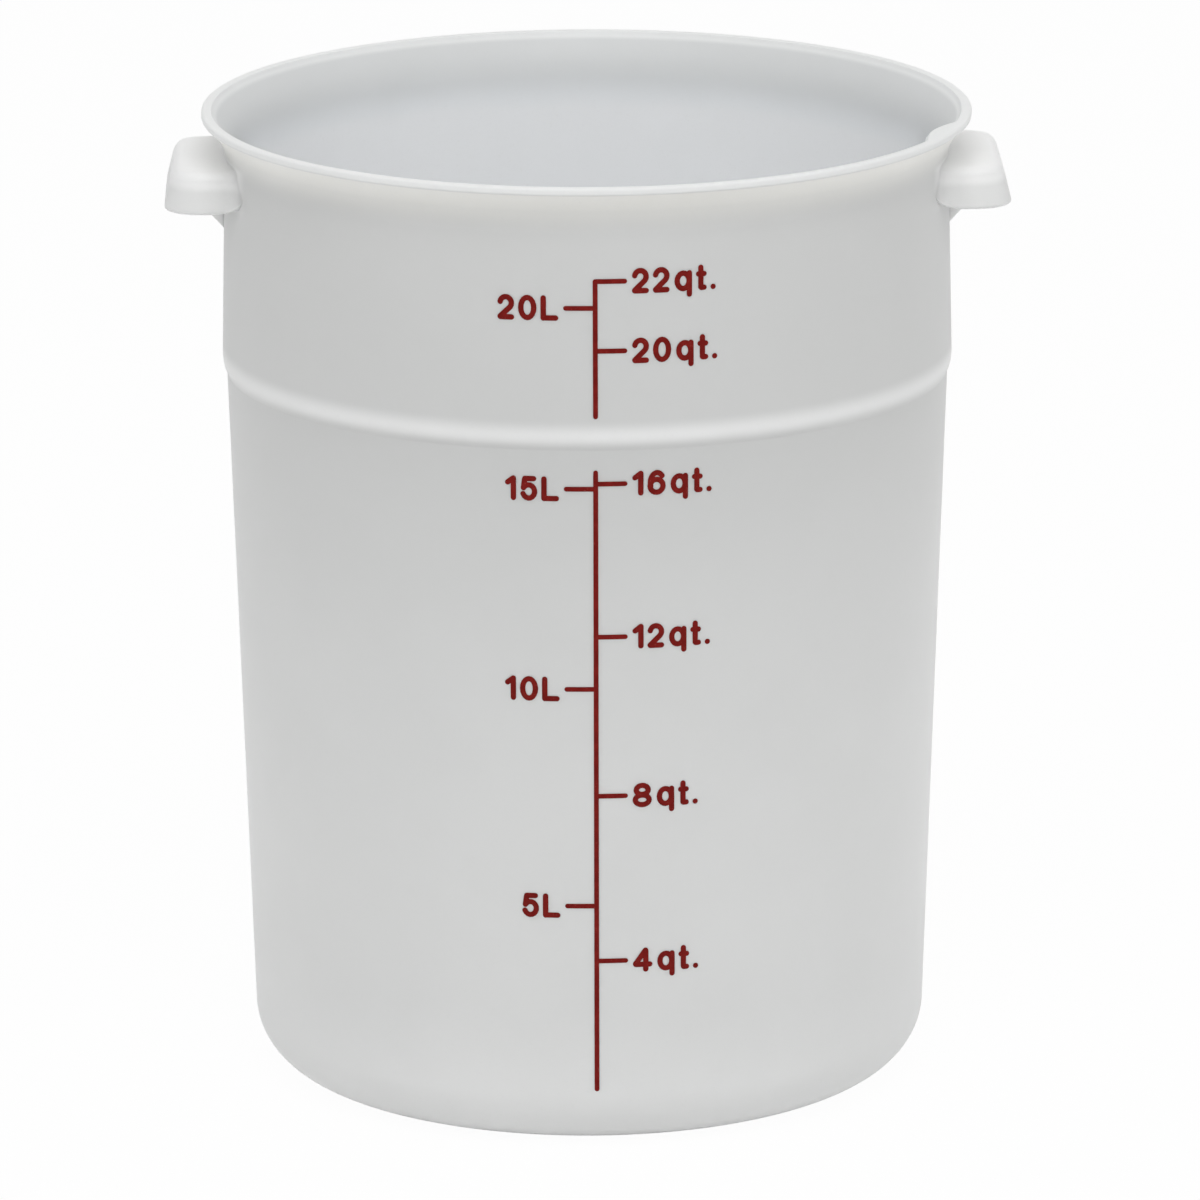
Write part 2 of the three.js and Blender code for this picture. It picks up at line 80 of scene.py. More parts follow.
# Handle sizes in millimetres
HANDLE_REACH = 23.5
HANDLE_HALF_WIDTH = 41.0
HANDLE_TOP = 372.7
HANDLE_BOTTOM = 357.3
HANDLE_MIDDLE = (HANDLE_TOP + HANDLE_BOTTOM) / 2
HANDLE_WALL = 2.6
HANDLE_CORNER = 13.0
HANDLE_EDGE = 3.6
HANDLE_LEAN = 0.24
HANDLE_FILLET = 7.5
HANDLE_TOP_FILLET = 2.5
HANDLE_CREASE = 1.5
HANDLE_FOOT_LIFT = 6.5
HANDLE_SINK = 0.02
HANDLE_RIM_ROUND = 1.2
RIB_DROP = 14.6
RIB_RUN = 13.5
RIB_THICKNESS = 3.0
RIB_ROUND = 0.5
RIB_OVERLAP = 0.1

# Ink film in millimetres
INK_PROUD = 0.06
INK_SUNK = 0.03
INK_MIDDLE = 0.24
INK_BEND_STEP = math.radians(1.0)

# Steps along the curves of the half section and of a lug, and segments of a lug's rounded edges
CURVE_STEPS = 14
BASE_STEPS = 24
FLOOR_CORNER_STEPS = 20
LIP_UNDER_STEPS = 3
LIP_SHOULDER_STEPS = 9
LIP_INNER_STEPS = 4
ROOT_STEPS = 12
CORNER_STEPS = 16
SIDE_STEPS = 6
EDGE_STEPS = 8
TOP_STEPS = 24
RIM_SEGMENTS = 4
RIB_SEGMENTS = 3

# Angles in degrees at which the lip's rounded edges leave the flare
LIP_UNDER_START = -60
LIP_INNER_END = 165

# Distance in millimetres below which two points are one
MERGE = 0.001

# Angles in degrees past which an edge stays crisp
TUB_CREASE = 35
LUG_CREASE = 40
INK_CREASE = 30

# Heights in metres between which a tone of the white plastic, or the painted light or shade on it, sets in
# or fades
THIN_FROM_BASE = (0.012, 0.060)
THIN_TO_LIP = (0.3875, 0.3893)
THICK_CLIMB = (0.1, 0.3)
LOWER_WALL_CLIMB = (0.060, 0.285)
RIDGE_RISE = (0.2862, 0.2915)
BAND_START = (0.2885, 0.2905)
RIDGE_FALL = (0.2918, 0.2985)
INNER_FLARE_CLIMB = (0.355, 0.380)
UNDER_LIP_RISE = (0.370, 0.388)
UNDER_LIP_END = (0.3875, 0.3885)
LUG_START = (0.335, 0.342)
LUG_RIM = (0.3560, 0.3573)
LUG_FACE_TOP = (0.3650, 0.3685)
LUG_END = (0.3735, 0.3765)
ROOT_PATCH_START = (0.356, 0.361)

# Distances in metres from the upright axis, from the middle plane, and from the middle of the wall
LUG_OUTWARDS = (0.1441, 0.1446)
ROOT_PATCH_ACROSS = (0.1345, 0.1385)
WALL_FACES = (-0.0003, 0.0003)

# Tones of the white plastic: its own white on the thick base and lip, and painted light and shade elsewhere
BASE_WHITE = (0.86, 0.865, 0.86, 1)
LIP_WHITE = (0.88, 0.89, 0.885, 1)
# Painted light: the inside is painted near white for light coming in through the walls, and its flare under
# the lip is painted grey as shade
INSIDE_PAINTED_LIGHT = (0.955, 0.975, 0.995, 1)
INSIDE_FLARE_PAINTED_SHADE = (0.755, 0.765, 0.765, 1)
# Painted light and shade on the outer wall: greyer where it is one wall thick, and lighter towards the foot
# for light from the floor
LOWER_WALL_FOOT_PAINTED_LIGHT = (0.805, 0.81, 0.805, 1)
LOWER_WALL_TOP_PAINTED_SHADE = (0.695, 0.70, 0.695, 1)
BAND_PAINTED_SHADE = (0.71, 0.715, 0.71, 1)
# Painted highlight along the rounded edge of the step
RIDGE_PAINTED_HIGHLIGHT = (0.90, 0.905, 0.90, 1)
# Painted light under the lip, warm, standing in for the brighter light that falls there from below
UNDER_LIP_PAINTED_LIGHT = (0.945, 0.94, 0.90, 1)
# Painted light: the lugs, their rib and the root patch are painted near white over the lip's shade, with a
# painted highlight on the top's front edge; the face below is greyer
LUG_FACE = (0.81, 0.815, 0.81, 1)
LUG_PAINTED_LIGHT = (0.97, 0.975, 0.97, 1)
CLOUD_GREY = (0.60, 0.61, 0.60, 1)
FLECK_GREY = (0.70, 0.71, 0.70, 1)
CLOUD_SHARE = 0.06
FLECK_SHARE = 0.10

# Tones of the ink
INK_DARK = (0.17, 0.006, 0.004, 1)
INK_LIGHT = (0.22, 0.011, 0.008, 1)
INK_PINHOLE = (0.36, 0.06, 0.05, 1)
PINHOLE_SHARE = 0.5

# Satin of the plastic: patterns per metre, where they show, relief and gloss, and depth that light reaches
MOTTLE_SCALE = 16.0
SPECKLE_SCALE = 900.0
GRAIN_SCALE = 2600.0
CLOUD_RANGE = (0.35, 0.65)
FLECK_RANGE = (0.58, 0.75)
SPECKLE_RELIEF = 0.7
GRAIN_RELIEF = 0.3
PLASTIC_BUMP = 0.12
PLASTIC_BUMP_DEPTH = 0.0002
PLASTIC_ROUGHNESS = 0.36
MOTTLE_DULLING = 0.08
SPECKLE_DULLING = 0.12
PLASTIC_IOR = 1.51
PLASTIC_GLOSS = 0.2
GLOW_WEIGHT = 0.6
GLOW_RADIUS = (1.0, 1.0, 1.0)
GLOW_DEPTH = 0.004

# Satin of the ink, in the same terms
INK_COVER_SCALE = 260.0
PINHOLE_SCALE = 1500.0
INK_COVER_RANGE = (0.35, 0.7)
PINHOLE_RANGE = (0.66, 0.74)
INK_BUMP = 0.08
INK_BUMP_DEPTH = 0.0001
INK_ROUGHNESS = 0.42
COVER_DULLING = 0.14
INK_IOR = 1.5
INK_GLOSS = 0.1

# Fall in strength from coarse to fine in every pattern
PATTERN_ROUGHNESS = 0.55

# Floor in metres, its colour, and the share of plain white that the eye sees on it
FLOOR_RADIUS = 9.0
FLOOR_STEPS = 96
FLOOR_GAP = 0.0001
FLOOR_PALE = (0.93, 0.93, 0.93, 1)
FLOOR_SEEN_WHITE = 0.97
WHITE = (1, 1, 1, 1)

# Studio light: sky level, then each lamp's name, place in metres and watts
SKY_LEVEL = 0.50
LIGHT_AIM = (0, 0, 0.2)
SOFTBOX_SIZE = (1.6, 1.2)
SOFTBOXES = (
    ("front_key", (0, -1.6, 2.4), 25.5),
    ("left_fill", (-2.4, -0.6, 1.6), 1.0),
    ("right_fill", (2.4, -0.6, 1.6), 2.5),
    ("back_rim", (0, 1.8, 2.4), 3),
)
PANEL_SIZE = (1.3, 1.0)
FLOOR_PANELS = (
    ("left_panel", (-0.85, 0.3, 0.004), 0.7),
    ("right_panel", (0.85, 0.3, 0.004), 0.9),
)

# Camera: place in metres, lens, sensor in millimetres, reach in metres, angles in radians
CAMERA_PLACE = (0.004785, -3.7422, 1.1857)
CAMERA_LENS = 289.6
CAMERA_SENSOR = 36.0
CAMERA_REACH = 60.0
CAMERA_PITCH = 0.2604
CAMERA_ROLL = 0.0030
CAMERA_TURN = math.radians(-1.3)


def mix(low, high, share):
    return low + (high - low) * share


def arc(centre, radii, start, end, steps):
    """Points along an ellipse, with angles in degrees."""
    points = []
    for step in range(steps + 1):
        angle = math.radians(mix(start, end, step / steps))
        points.append((centre[0] + radii[0] * math.cos(angle), centre[1] + radii[1] * math.sin(angle)))
    return points


def step_curve(low_radius, high_radius):
    """Underside of the band: a long round edge that turns in to the lower wall through a short hollow."""
    points = []
    for step in range(CURVE_STEPS + 1):
        share = step / CURVE_STEPS
        rest = 1 - share
        hollow = 3 * share * rest * rest
        rounding = 3 * share * share * rest
        top = share ** 3
        height = STEP_HOLLOW * hollow + (STEP_TOP - STEP_ROUND - STEP_BOTTOM) * rounding
        height += (STEP_TOP - STEP_BOTTOM) * top
        points.append((mix(low_radius, high_radius, rounding + top), STEP_BOTTOM + height))
    return points


def flare_curve(radius, end_radius, top, lean):
    """Curve that leaves the band upright and reaches the lip at a lean from upright."""
    bend = top - (end_radius - radius) / math.tan(lean)
    points = []
    for step in range(CURVE_STEPS + 1):
        share = step / CURVE_STEPS
        height = mix(mix(FLARE_BOTTOM, bend, share), mix(bend, top, share), share)
        points.append((mix(radius, end_radius, share * share), height))
    return points


def wall_radius(z):
    """Outside radius of the wall's straight stretches at a height."""
    if z > STEP_TOP:
        return mix(BAND_RADIUS, BAND_TOP_RADIUS, (z - STEP_TOP) / (FLARE_BOTTOM - STEP_TOP))
    return mix(BASE_RADIUS, LOWER_TOP_RADIUS, (z - BASE_CORNER) / (STEP_BOTTOM - BASE_CORNER))


def wire(mesh, points):
    """Joins points in millimetres into a run of edges."""
    corners = [mesh.verts.new(Vector(point) * MM) for point in points]
    edges = [mesh.edges.new(pair) for pair in zip(corners, corners[1:])]
    return corners, edges


def finished_piece(name, mesh, material, smooth_degrees):
    """Turns a bmesh into a shown object at the origin with smooth faces and crisp corners."""
    data = bpy.data.meshes.new(name)
    mesh.to_mesh(data)
    mesh.free()
    data.shade_smooth()
    data.set_sharp_from_angle(angle=math.radians(smooth_degrees))
    data.materials.append(material)
    piece = bpy.data.objects.new(name, data)
    bpy.context.scene.collection.objects.link(piece)
    return piece


def half_section():
    """Half section from the middle of the underside, round the lip, to the middle of the floor."""
    base_flat = BASE_RADIUS - BASE_CORNER
    ring_inner = base_flat - FOOT_RING_WIDTH
    outside = [
        (0, FOOT_HEIGHT - GATE_HEIGHT),
        (GATE_RADIUS - GATE_HEIGHT, FOOT_HEIGHT - GATE_HEIGHT),
        (GATE_RADIUS, FOOT_HEIGHT),
        (ring_inner - FOOT_RING_LEAN - FOOT_EDGE, FOOT_HEIGHT),
        (ring_inner - FOOT_RING_LEAN, FOOT_HEIGHT - FOOT_EDGE / 3),
        (ring_inner - FOOT_EDGE / 3, FOOT_EDGE),
        (ring_inner + FOOT_EDGE / 3, FOOT_EDGE / 4),
        (ring_inner + FOOT_EDGE, 0),
        *arc((base_flat, BASE_CORNER), (BASE_CORNER, BASE_CORNER), -90, 0, BASE_STEPS),
        *step_curve(LOWER_TOP_RADIUS, BAND_RADIUS),
        *flare_curve(BAND_TOP_RADIUS, LIP_RADIUS - LIP_EDGE, LIP_BOTTOM, FLARE_LEAN),
    ]
    shoulder = (LIP_RADIUS - LIP_SHOULDER[0], HEIGHT - LIP_SHOULDER[1])
    inner_edge = (LIP_INNER_RADIUS + LIP_INNER_EDGE, HEIGHT - LIP_INNER_EDGE)
    under_edge = (LIP_RADIUS - LIP_EDGE, LIP_BOTTOM + LIP_EDGE)
    lip = [
        *arc(under_edge, (LIP_EDGE, LIP_EDGE), LIP_UNDER_START, 0, LIP_UNDER_STEPS),
        *arc(shoulder, LIP_SHOULDER, 0, 90, LIP_SHOULDER_STEPS),
        *arc(inner_edge, (LIP_INNER_EDGE, LIP_INNER_EDGE), 90, LIP_INNER_END, LIP_INNER_STEPS),
    ]
    corner = (BASE_CORNER - WALL, BASE_CORNER - FLOOR_TOP)
    inside = [
        (0, FLOOR_TOP),
        *arc((base_flat, BASE_CORNER), corner, -90, 0, FLOOR_CORNER_STEPS),
        *step_curve(LOWER_TOP_RADIUS - WALL, BAND_RADIUS - WALL),
        *flare_curve(BAND_TOP_RADIUS - WALL, LIP_INNER_RADIUS, HEIGHT - LIP_INNER_EDGE, INNER_FLARE_LEAN),
    ]
    return outside + lip + inside[::-1]


def press_tab(mesh):
    """Draws the lip's inner edge inwards into the lens-shaped tab."""
    for vert in mesh.verts:
        radius = math.hypot(vert.co.x, vert.co.y) / MM
        on_lip = vert.co.z / MM > LIP_BOTTOM + LIP_EDGE / 2
        on_inner_edge = on_lip and radius < LIP_INNER_RADIUS + LIP_EDGE
        along = (math.atan2(vert.co.y, vert.co.x) - TAB_ANGLE) * LIP_INNER_RADIUS
        share = 2 * along / TAB_LENGTH
        if on_inner_edge and abs(share) < 1:
            pull = 1 - TAB_DEPTH * (1 - share * share) / radius
            vert.co.x *= pull
            vert.co.y *= pull


def tub(material):
    mesh = bmesh.new()
    corners, edges = wire(mesh, [(radius, 0, z) for radius, z in half_section()])
    bmesh.ops.spin(mesh, geom=corners + edges, axis=(0, 0, 1), cent=(0, 0, 0), angle=2 * math.pi,
                   steps=TURN_STEPS, use_merge=True)
    bmesh.ops.remove_doubles(mesh, verts=mesh.verts, dist=MERGE * MM)
    bmesh.ops.recalc_face_normals(mesh, faces=mesh.faces)
    press_tab(mesh)
    return finished_piece("tub_shell", mesh, material, TUB_CREASE)


def handle_stations():
    """Places from the wall outwards: reach, share of the root's spread, plan corner and fall of the top."""
    stations = []
    for step in range(ROOT_STEPS + 1):
        angle = QUARTER_TURN * step / ROOT_STEPS
        out = HANDLE_FILLET * (1 - math.cos(angle)) - HANDLE_SINK
        stations.append((out, 1 - math.sin(angle), 0.0, 0.0))
    for step in range(CORNER_STEPS + 1):
        angle = QUARTER_TURN * step / CORNER_STEPS
        left = HANDLE_CORNER * (1 - math.sin(angle))
        past = max(HANDLE_EDGE - left, 0.0)
        drop = HANDLE_EDGE - math.sqrt(HANDLE_EDGE * HANDLE_EDGE - past * past)
        stations.append((HANDLE_REACH - left, 0.0, HANDLE_CORNER * (1 - math.cos(angle)), drop))
    return stations


def handle_ring(station):
    """Points in millimetres up one end of the lug, over its top and down the other end."""
    out, root, narrow, drop = station
    half = HANDLE_HALF_WIDTH - narrow
    top = HANDLE_TOP + HANDLE_CREASE * root - drop
    bottom = HANDLE_BOTTOM + HANDLE_FOOT_LIFT * root
    top_half = half + HANDLE_TOP_FILLET * root - HANDLE_LEAN * (top - HANDLE_BOTTOM)
    bottom_half = half + HANDLE_FILLET * root - HANDLE_LEAN * (bottom - HANDLE_BOTTOM)
    shoulder = top_half - HANDLE_EDGE
    edge = (HANDLE_EDGE, HANDLE_EDGE)
    side = []
    for step in range(SIDE_STEPS):
        share = step / SIDE_STEPS
        side.append((mix(bottom_half, top_half, share), mix(bottom, top - HANDLE_EDGE, share)))
    right = side + arc((shoulder, top - HANDLE_EDGE), edge, 0, 90, EDGE_STEPS)
    across = [(mix(shoulder, -shoulder, step / TOP_STEPS), top) for step in range(1, TOP_STEPS)]
    left = [(-y, z) for y, z in right[::-1]]
    share = min(max(out / HANDLE_REACH, 0.0), 1.0)
    ring = []
    for y, z in right + across + left:
        wall = wall_radius(z)
        on_wall = math.sqrt(wall * wall - y * y) + out
        on_end = wall_radius(HANDLE_MIDDLE) + out - HANDLE_LEAN * (z - HANDLE_BOTTOM)
        ring.append((mix(on_wall, on_end, share), y, z))
    return ring


def handle_shell(mesh):
    """Lug with an open underside, grown ring by ring from the wall and given its thickness."""
    stations = handle_stations()
    corners, edges = wire(mesh, handle_ring(stations[0]))
    for station in stations[1:]:
        grown = bmesh.ops.extrude_edge_only(mesh, edges=edges)["geom"]
        corners = [item for item in grown if isinstance(item, bmesh.types.BMVert)]
        edges = [item for item in grown if isinstance(item, bmesh.types.BMEdge)]
        for corner, point in zip(corners, handle_ring(station)):
            corner.co = Vector(point) * MM
    bmesh.ops.contextual_create(mesh, geom=corners)
    bmesh.ops.recalc_face_normals(mesh, faces=mesh.faces)
    bmesh.ops.solidify(mesh, geom=mesh.faces[:], thickness=HANDLE_WALL * MM)
    round_rim(mesh)


def round_rim(mesh):
    """Rounds the sharp edges of the lug's lower rim."""
    def on_rim(edge):
        return all(abs(vert.co.z / MM - HANDLE_BOTTOM) < HANDLE_RIM_ROUND / 2 for vert in edge.verts)

    rim = [edge for edge in mesh.edges if on_rim(edge) and edge.calc_face_angle(0.0) > QUARTER_TURN / 2]
    bmesh.ops.bevel(mesh, geom=rim, offset=HANDLE_RIM_ROUND * MM, offset_type="OFFSET",
                    segments=RIM_SEGMENTS, profile=0.5, affect="EDGES", material=-1)


def handle_rib(mesh):
    """Gusset in the finger pocket, from the wall to the end of the lug."""
    root = wall_radius(HANDLE_BOTTOM)
    foot = HANDLE_BOTTOM - RIB_DROP
    inner_end = wall_radius(HANDLE_MIDDLE) + HANDLE_REACH - HANDLE_WALL + RIB_OVERLAP
    top = HANDLE_TOP - HANDLE_WALL + RIB_OVERLAP
    outline = [
        (root - WALL / 2, foot),
        (root, foot),
        (root + RIB_RUN, HANDLE_BOTTOM),
        (inner_end - HANDLE_LEAN * HANDLE_WALL, HANDLE_BOTTOM + HANDLE_WALL),
        (inner_end - HANDLE_LEAN * (top - HANDLE_BOTTOM), top),
        (root - WALL / 2, top),
    ]
    corners = [mesh.verts.new(Vector((x, -RIB_THICKNESS / 2, z)) * MM) for x, z in outline]
    face = mesh.faces.new(corners)
    grown = bmesh.ops.extrude_face_region(mesh, geom=[face])["geom"]
    far_side = [item for item in grown if isinstance(item, bmesh.types.BMVert)]
    bmesh.ops.translate(mesh, verts=far_side, vec=(0, RIB_THICKNESS * MM, 0))
    rib_corners = set(corners + far_side)
    faces = [linked for linked in mesh.faces if all(vert in rib_corners for vert in linked.verts)]
    bmesh.ops.recalc_face_normals(mesh, faces=faces)
    below = (HANDLE_BOTTOM + HANDLE_WALL + RIB_ROUND) * MM
    low_corners = {vert for vert in rib_corners if vert.co.z < below}
    lower_edges = [edge for edge in mesh.edges if all(vert in low_corners for vert in edge.verts)]
    bmesh.ops.bevel(mesh, geom=lower_edges, offset=RIB_ROUND * MM, offset_type="OFFSET",
                    segments=RIB_SEGMENTS, profile=0.5, affect="EDGES", material=-1)


def handle(name, turn, material):
    mesh = bmesh.new()
    handle_shell(mesh)
    handle_rib(mesh)
    bmesh.ops.rotate(mesh, verts=mesh.verts, cent=(0, 0, 0), matrix=Matrix.Rotation(turn, 3, "Z"))
    return finished_piece(name, mesh, material, LUG_CREASE)


def ink_film(node_name, material):
    """The printed figure or line of a solid, cut into narrow strips that lie on the round wall."""
    mesh = bmesh.new()
    mesh.from_mesh(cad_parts[node_name].data)
    bmesh.ops.remove_doubles(mesh, verts=mesh.verts, dist=MERGE * MM)
    around = [math.atan2(vert.co.x, -vert.co.y) for vert in mesh.verts]
    cut = math.ceil(min(around) / INK_BEND_STEP) * INK_BEND_STEP
    while cut < max(around):
        everything = mesh.verts[:] + mesh.edges[:] + mesh.faces[:]
        bmesh.ops.bisect_plane(mesh, geom=everything, dist=MERGE * MM, plane_co=(0, 0, 0),
                               plane_no=(math.cos(cut), math.sin(cut), 0))
        cut += INK_BEND_STEP
    for vert in mesh.verts:
        radius = math.hypot(vert.co.x, vert.co.y)
        wall = wall_radius(vert.co.z / MM)
        is_front = radius / MM - wall > INK_MIDDLE
        laid = (wall + (INK_PROUD if is_front else -INK_SUNK)) * MM
        vert.co.x *= laid / radius
        vert.co.y *= laid / radius
    bmesh.ops.remove_doubles(mesh, verts=mesh.verts, dist=MERGE * MM)
    bmesh.ops.dissolve_degenerate(mesh, dist=MERGE * MM, edges=mesh.edges)
    return finished_piece("ink_" + node_name, mesh, material, INK_CREASE)


class Value:
    """A shader socket that takes part in Python arithmetic."""

    def __init__(self, tree, socket):
        self.tree = tree
        self.socket = socket

    def node(self, kind, settings, inputs, output=0):
        """Adds a node: its settings first, then the values or links of its sockets."""
        return add_node(self.tree, kind, settings, inputs, output)

    def maths(self, operation, first, second):
        return self.node("ShaderNodeMath", {"operation": operation}, {0: first, 1: second})

    def __add__(self, other):
        return self.maths("ADD", self, other)

    __radd__ = __add__

    def __sub__(self, other):
        return self.maths("SUBTRACT", self, other)

    def __rsub__(self, other):
        return self.maths("SUBTRACT", other, self)

    def __mul__(self, other):
        return self.maths("MULTIPLY", self, other)

    __rmul__ = __mul__


def add_node(tree, kind, settings, inputs, output=0):
    made = tree.nodes.new(kind)
    for name, setting in settings.items():
        setattr(made, name, setting)
    for name, value in inputs.items():
        if isinstance(value, Value):
            tree.links.new(value.socket, made.inputs[name])
        else:
            made.inputs[name].default_value = value
    return Value(tree, made.outputs[output])


def new_material(name):
    material = bpy.data.materials.new(name)
    material.use_nodes = True
    tree = material.node_tree
    tree.nodes.clear()
    return material, tree


def noise(place, scale, detail):
    return place.node("ShaderNodeTexNoise", {"noise_dimensions": "3D"},
                      {"Vector": place, "Scale": scale, "Detail": detail, "Roughness": PATTERN_ROUGHNESS})


def mixed_colour(share, low, high):
    return share.node("ShaderNodeMix", {"data_type": "RGBA"}, {0: share, 6: low, 7: high}, output=2)


def bumped(relief, strength, depth):
    return relief.node("ShaderNodeBump", {}, {"Strength": strength, "Distance": depth, "Height": relief})


def between(value, low, high, way="SMOOTHSTEP"):
    """0 below low, 1 above high, and smooth or straight between."""
    return value.node("ShaderNodeMapRange", {"interpolation_type": way},
                      {"Value": value, "From Min": low, "From Max": high})


def wall_middle(height):
    """Radius in metres halfway through the wall at a height: lower wall, band, then flare."""
    lower_slope = (LOWER_TOP_RADIUS - BASE_RADIUS) / (STEP_BOTTOM - BASE_CORNER)
    lower = (height - BASE_CORNER * MM) * lower_slope + (BASE_RADIUS - WALL / 2) * MM
    band = (BAND_TOP_RADIUS - WALL / 5) * MM
    flare_slope = (LIP_INNER_RADIUS - BAND_TOP_RADIUS + WALL / 2) / (LIP_BOTTOM - FLARE_BOTTOM - WALL)
    flare = (height - LIP_BOTTOM * MM) * flare_slope + (LIP_INNER_RADIUS + LIP_EDGE) * MM
    return height.maths("MAXIMUM", height.maths("MINIMUM", lower, band), flare)


def outside_face(height, radius):
    """1 on the outside of the wall and 0 on its inside."""
    return between(radius - wall_middle(height), *WALL_FACES)


def on_handle(height, radius, across):
    """1 on the lugs and on the patch of wall that they grow from, where painted light lies over the shade,
    0 on the rest of the tub.
    """
    lug = between(radius, *LUG_OUTWARDS) * between(height, *LUG_START)
    painted_root_patch = between(across, *ROOT_PATCH_ACROSS) * between(height, *ROOT_PATCH_START)
    return lug.maths("MAXIMUM", lug, painted_root_patch) * (1 - between(height, *LUG_END))


def thin_wall(height):
    """1 where the plastic is one wall thick, lets light through and is painted greyer as shade, 0 on the
    lip and base.
    """
    return between(height, *THIN_FROM_BASE) * (1 - between(height, *THIN_TO_LIP))


def on_painted_ridge(height):
    """1 on the rounded edge of the step, which catches the light and gets a painted highlight, and 0
    elsewhere.
    """
    return between(height, *RIDGE_RISE) * (1 - between(height, *RIDGE_FALL))


def tone_with_painted_light(height, radius, across):
    """Tone of the moulding with painted light and shade: thick places keep their white, the thin walls,
    which let light through, are painted greyer, the inside whiter, and painted light lies on the step's
    edge, under the lip and on the lugs.
    """
    outside = outside_face(height, radius)
    rise = between(height, *LOWER_WALL_CLIMB, way="LINEAR")
    thick = mixed_colour(between(height, *THICK_CLIMB), BASE_WHITE, LIP_WHITE)
    # Inside painted near white as light, its flare painted grey as shade
    inner = mixed_colour(between(height, *INNER_FLARE_CLIMB), INSIDE_PAINTED_LIGHT, INSIDE_FLARE_PAINTED_SHADE)
    # Lower wall painted lighter towards the foot for light from the floor, and the band painted grey as
    # shade
    lower = mixed_colour(rise * rise, LOWER_WALL_FOOT_PAINTED_LIGHT, LOWER_WALL_TOP_PAINTED_SHADE)
    outer = mixed_colour(between(height, *BAND_START), lower, BAND_PAINTED_SHADE)
    thin = mixed_colour(outside, inner, outer)
    walled = mixed_colour(thin_wall(height), thick, thin)
    # Painted highlight on the step's rounded edge
    ridged = mixed_colour(on_painted_ridge(height) * outside, walled, RIDGE_PAINTED_HIGHLIGHT)
    # Painted warm light under the lip
    under_lip = between(height, *UNDER_LIP_RISE) * (1 - between(height, *UNDER_LIP_END))
    painted_under_lip = mixed_colour(under_lip * outside, ridged, UNDER_LIP_PAINTED_LIGHT)
    # Lugs painted near white over their shade, with a greyer face
    off_face = 1 - between(height, *LUG_RIM) * (1 - between(height, *LUG_FACE_TOP))
    lug = mixed_colour(off_face, LUG_FACE, LUG_PAINTED_LIGHT)
    return mixed_colour(on_handle(height, radius, across) * outside, painted_under_lip, lug)


def white_polyethylene():
    """Satin white plastic, faintly clouded and flecked, that lets a little light in, with painted light and
    shade in its tone.
    """
    material, tree = new_material("white_polyethylene")
    place = add_node(tree, "ShaderNodeTexCoord", {}, {}, output="Object")
    height = place.node("ShaderNodeSeparateXYZ", {}, {0: place}, output="Z")
    side = place.node("ShaderNodeSeparateXYZ", {}, {0: place}, output="X")
    across = side.node("ShaderNodeMath", {"operation": "ABSOLUTE"}, {0: side})
    flat_place = place.node("ShaderNodeVectorMath", {"operation": "MULTIPLY"}, {0: place, 1: (1, 1, 0)})
    radius = place.node("ShaderNodeVectorMath", {"operation": "LENGTH"}, {0: flat_place}, output="Value")
    mottle = noise(place, MOTTLE_SCALE, 3.0)
    speckle = noise(place, SPECKLE_SCALE, 2.0)
    grain = noise(place, GRAIN_SCALE, 1.0)
    toned_and_painted = tone_with_painted_light(height, radius, across)
    clouded = mixed_colour(between(mottle, *CLOUD_RANGE) * CLOUD_SHARE, toned_and_painted, CLOUD_GREY)
    flecked = mixed_colour(between(speckle, *FLECK_RANGE) * FLECK_SHARE, clouded, FLECK_GREY)
    roughness = PLASTIC_ROUGHNESS + mottle * MOTTLE_DULLING + speckle * SPECKLE_DULLING
    relief = speckle * SPECKLE_RELIEF + grain * GRAIN_RELIEF
    bump = bumped(relief, PLASTIC_BUMP, PLASTIC_BUMP_DEPTH)
    shader = add_node(tree, "ShaderNodeBsdfPrincipled", {}, {
        "Base Color": flecked,
        "Roughness": roughness,
        "Normal": bump,
        "IOR": PLASTIC_IOR,
        "Specular IOR Level": PLASTIC_GLOSS,
        "Subsurface Weight": GLOW_WEIGHT,
        "Subsurface Radius": GLOW_RADIUS,
        "Subsurface Scale": GLOW_DEPTH,
    })
    add_node_output(tree, shader)
    return material


def add_node_output(tree, shader):
    output = tree.nodes.new("ShaderNodeOutputMaterial")
    tree.links.new(shader.socket, output.inputs["Surface"])


def red_ink():
    """Dark red printing ink of uneven cover, with pinholes."""
    material, tree = new_material("red_ink")
    place = add_node(tree, "ShaderNodeTexCoord", {}, {}, output="Object")
    cover = noise(place, INK_COVER_SCALE, 3.0)
    pinholes = noise(place, PINHOLE_SCALE, 1.0)
    covered = mixed_colour(between(cover, *INK_COVER_RANGE), INK_DARK, INK_LIGHT)
    colour = mixed_colour(between(pinholes, *PINHOLE_RANGE) * PINHOLE_SHARE, covered, INK_PINHOLE)
    roughness = INK_ROUGHNESS + cover * COVER_DULLING
    bump = bumped(pinholes, INK_BUMP, INK_BUMP_DEPTH)
    shader = add_node(tree, "ShaderNodeBsdfPrincipled", {}, {
        "Base Color": colour,
        "Roughness": roughness,
        "Normal": bump,
        "IOR": INK_IOR,
        "Specular IOR Level": INK_GLOSS,
    })
    add_node_output(tree, shader)
    return material


def seen_directly(tree):
    """1 for rays from the camera and for what gloss and clear plastic show, 0 for soft light."""
    rays = tree.nodes.new("ShaderNodeLightPath")
    camera_ray = Value(tree, rays.outputs["Is Camera Ray"])
    gloss_ray = Value(tree, rays.outputs["Is Glossy Ray"])
    clear_ray = Value(tree, rays.outputs["Is Transmission Ray"])
    any_gloss = camera_ray.maths("MAXIMUM", camera_ray, gloss_ray)
    return any_gloss.maths("MAXIMUM", any_gloss, clear_ray)


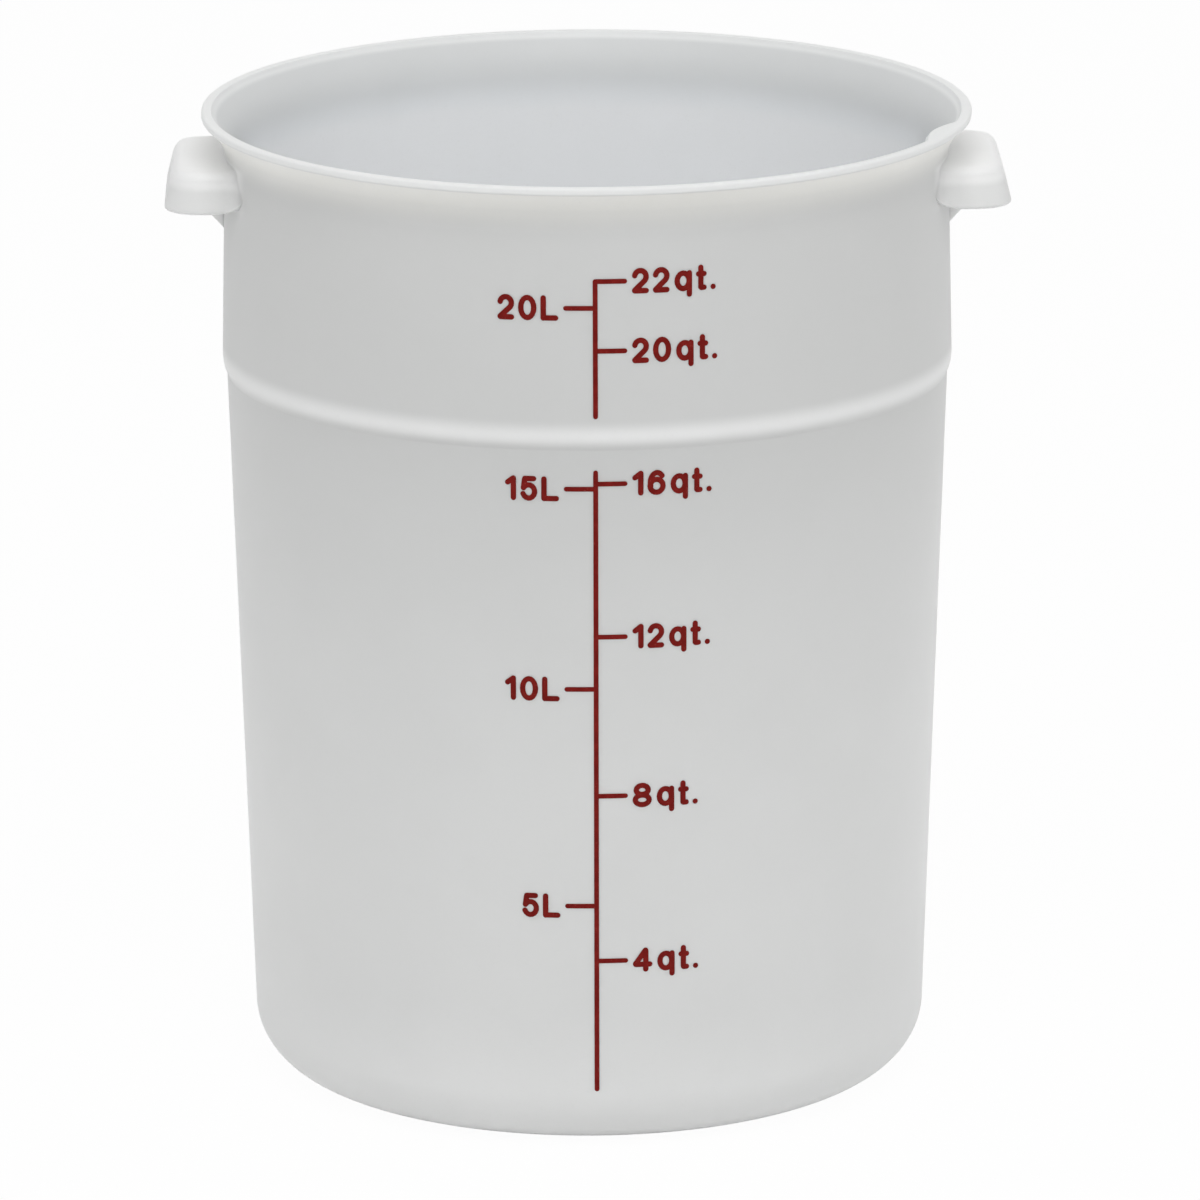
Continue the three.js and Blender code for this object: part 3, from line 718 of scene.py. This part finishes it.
def pale_floor():
    """Floor that looks nearly white and still takes the tub's shadow."""
    material, tree = new_material("pale_floor")
    seen = seen_directly(tree)
    plain = add_node(tree, "ShaderNodeBsdfDiffuse", {}, {"Color": FLOOR_PALE})
    white = add_node(tree, "ShaderNodeEmission", {}, {"Color": WHITE, "Strength": 1.0})
    shader = add_node(tree, "ShaderNodeMixShader", {}, {0: seen * FLOOR_SEEN_WHITE, 1: plain, 2: white})
    add_node_output(tree, shader)
    return material


def floor():
    mesh = bmesh.new()
    bmesh.ops.create_circle(mesh, cap_ends=True, segments=FLOOR_STEPS, radius=FLOOR_RADIUS,
                            matrix=Matrix.Translation((0, 0, -FLOOR_GAP)))
    data = bpy.data.meshes.new("floor")
    mesh.to_mesh(data)
    mesh.free()
    data.materials.append(pale_floor())
    piece = bpy.data.objects.new("floor", data)
    bpy.context.scene.collection.objects.link(piece)


def area_lamp(name, place, turn, size, watts):
    lamp = bpy.data.lights.new(name, "AREA")
    lamp.shape = "RECTANGLE"
    lamp.size, lamp.size_y = size
    lamp.energy = watts
    piece = bpy.data.objects.new(name, lamp)
    piece.location = place
    piece.rotation_euler = turn
    piece.visible_camera = False
    bpy.context.scene.collection.objects.link(piece)


def studio_light():
    """Even white sky, softboxes round the tub, and panels that lie on the floor and shine up."""
    world = bpy.data.worlds.new("studio")
    bpy.context.scene.world = world
    world.use_nodes = True
    tree = world.node_tree
    tree.nodes.clear()
    strength = SKY_LEVEL + seen_directly(tree) * (1 - SKY_LEVEL)
    sky = add_node(tree, "ShaderNodeBackground", {}, {"Color": WHITE, "Strength": strength})
    output = tree.nodes.new("ShaderNodeOutputWorld")
    tree.links.new(sky.socket, output.inputs["Surface"])
    for name, place, watts in SOFTBOXES:
        towards = Vector(LIGHT_AIM) - Vector(place)
        area_lamp(name, place, towards.to_track_quat("-Z", "Y").to_euler(), SOFTBOX_SIZE, watts)
    for name, place, watts in FLOOR_PANELS:
        area_lamp(name, place, (math.pi, 0, 0), PANEL_SIZE, watts)


def camera():
    data = bpy.data.cameras.new("camera")
    data.lens = CAMERA_LENS
    data.sensor_width = CAMERA_SENSOR
    data.clip_end = CAMERA_REACH
    piece = bpy.data.objects.new("camera", data)
    turn = Matrix.Rotation(CAMERA_TURN, 4, "Z")
    tilt = Matrix.Rotation(QUARTER_TURN - CAMERA_PITCH, 4, "X")
    roll = Matrix.Rotation(-CAMERA_ROLL, 4, "Z")
    piece.matrix_world = turn @ Matrix.Translation(CAMERA_PLACE) @ tilt @ roll
    bpy.context.scene.collection.objects.link(piece)
    bpy.context.scene.camera = piece


def container():
    polyethylene = white_polyethylene()
    ink = red_ink()
    shell = tub(polyethylene)
    right = handle("right_lug", 0.0, polyethylene)
    left = handle("left_lug", math.pi, polyethylene)
    for piece, node in ((shell, "tub"), (right, "right_handle"), (left, "left_handle")):
        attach(piece, "root")
        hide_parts(node)
    for node in sorted(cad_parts):
        if node.startswith(("print_", "scale_line_")):
            film = ink_film(node, ink)
            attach(film, "root")
            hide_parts(node)


camera()
studio_light()
floor()
container()
bpy.context.scene.view_settings.view_transform = "Standard"
